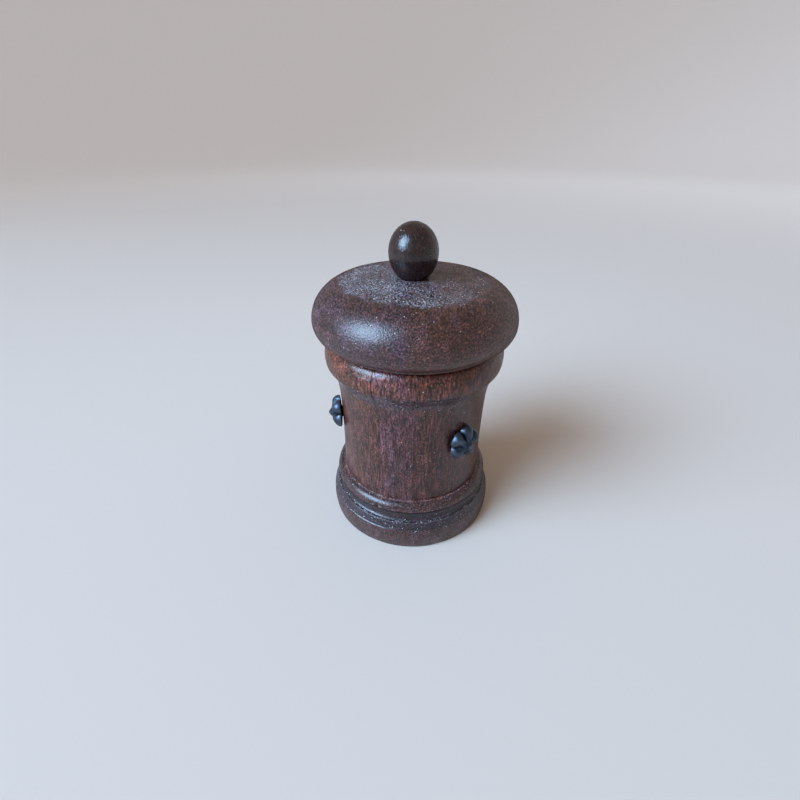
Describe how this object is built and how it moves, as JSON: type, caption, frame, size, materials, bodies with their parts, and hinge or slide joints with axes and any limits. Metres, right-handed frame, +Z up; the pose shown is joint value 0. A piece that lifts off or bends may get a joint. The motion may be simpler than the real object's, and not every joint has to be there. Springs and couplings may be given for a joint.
{
  "type": "turned wooden jar",
  "caption": "Turned wooden storage jar of glued staves with a moulded base, a lift-off bun lid with a ball knob, and forged iron studs round its waist.",
  "frame": {"origin": "centre of the underside of the base, on the surface that the jar stands on", "axes": "+Z up along the turning axis, -Y towards the front, +X to the right as seen from the front"},
  "size_m": [0.1228, 0.1228, 0.1958],
  "materials": {
    "base_wood": "dark stained and waxed hardwood, turned, worn and dusty on its ledges",
    "stave_wood": "dark stained and waxed hardwood with upright grain, satin",
    "lid_wood": "dark stained and waxed hardwood, satin on the bun and dusty on top",
    "knob_wood": "near black stained hardwood, polished by handling",
    "stud_iron": "hand hammered blue black iron, satin"
  },
  "bodies": {
    "jar": {"base": "base_wood", "stave_01": "stave_wood", "stave_02": "stave_wood", "stave_03": "stave_wood", "stave_04": "stave_wood", "stave_05": "stave_wood", "stave_06": "stave_wood", "stave_07": "stave_wood", "stave_08": "stave_wood", "stave_09": "stave_wood", "stave_10": "stave_wood", "stave_11": "stave_wood", "stave_12": "stave_wood", "stave_13": "stave_wood", "stave_14": "stave_wood", "stud_left": "stud_iron", "stud_right": "stud_iron", "stud_back": "stud_iron"},
    "lid": {"lid": "lid_wood", "knob": "knob_wood"}
  },
  "joints": [
    {"name": "lid_lift", "type": "slide", "parent": "jar", "child": "lid", "axis": [0, 0, 1], "range_m": [0, 0.12]}
  ]
}
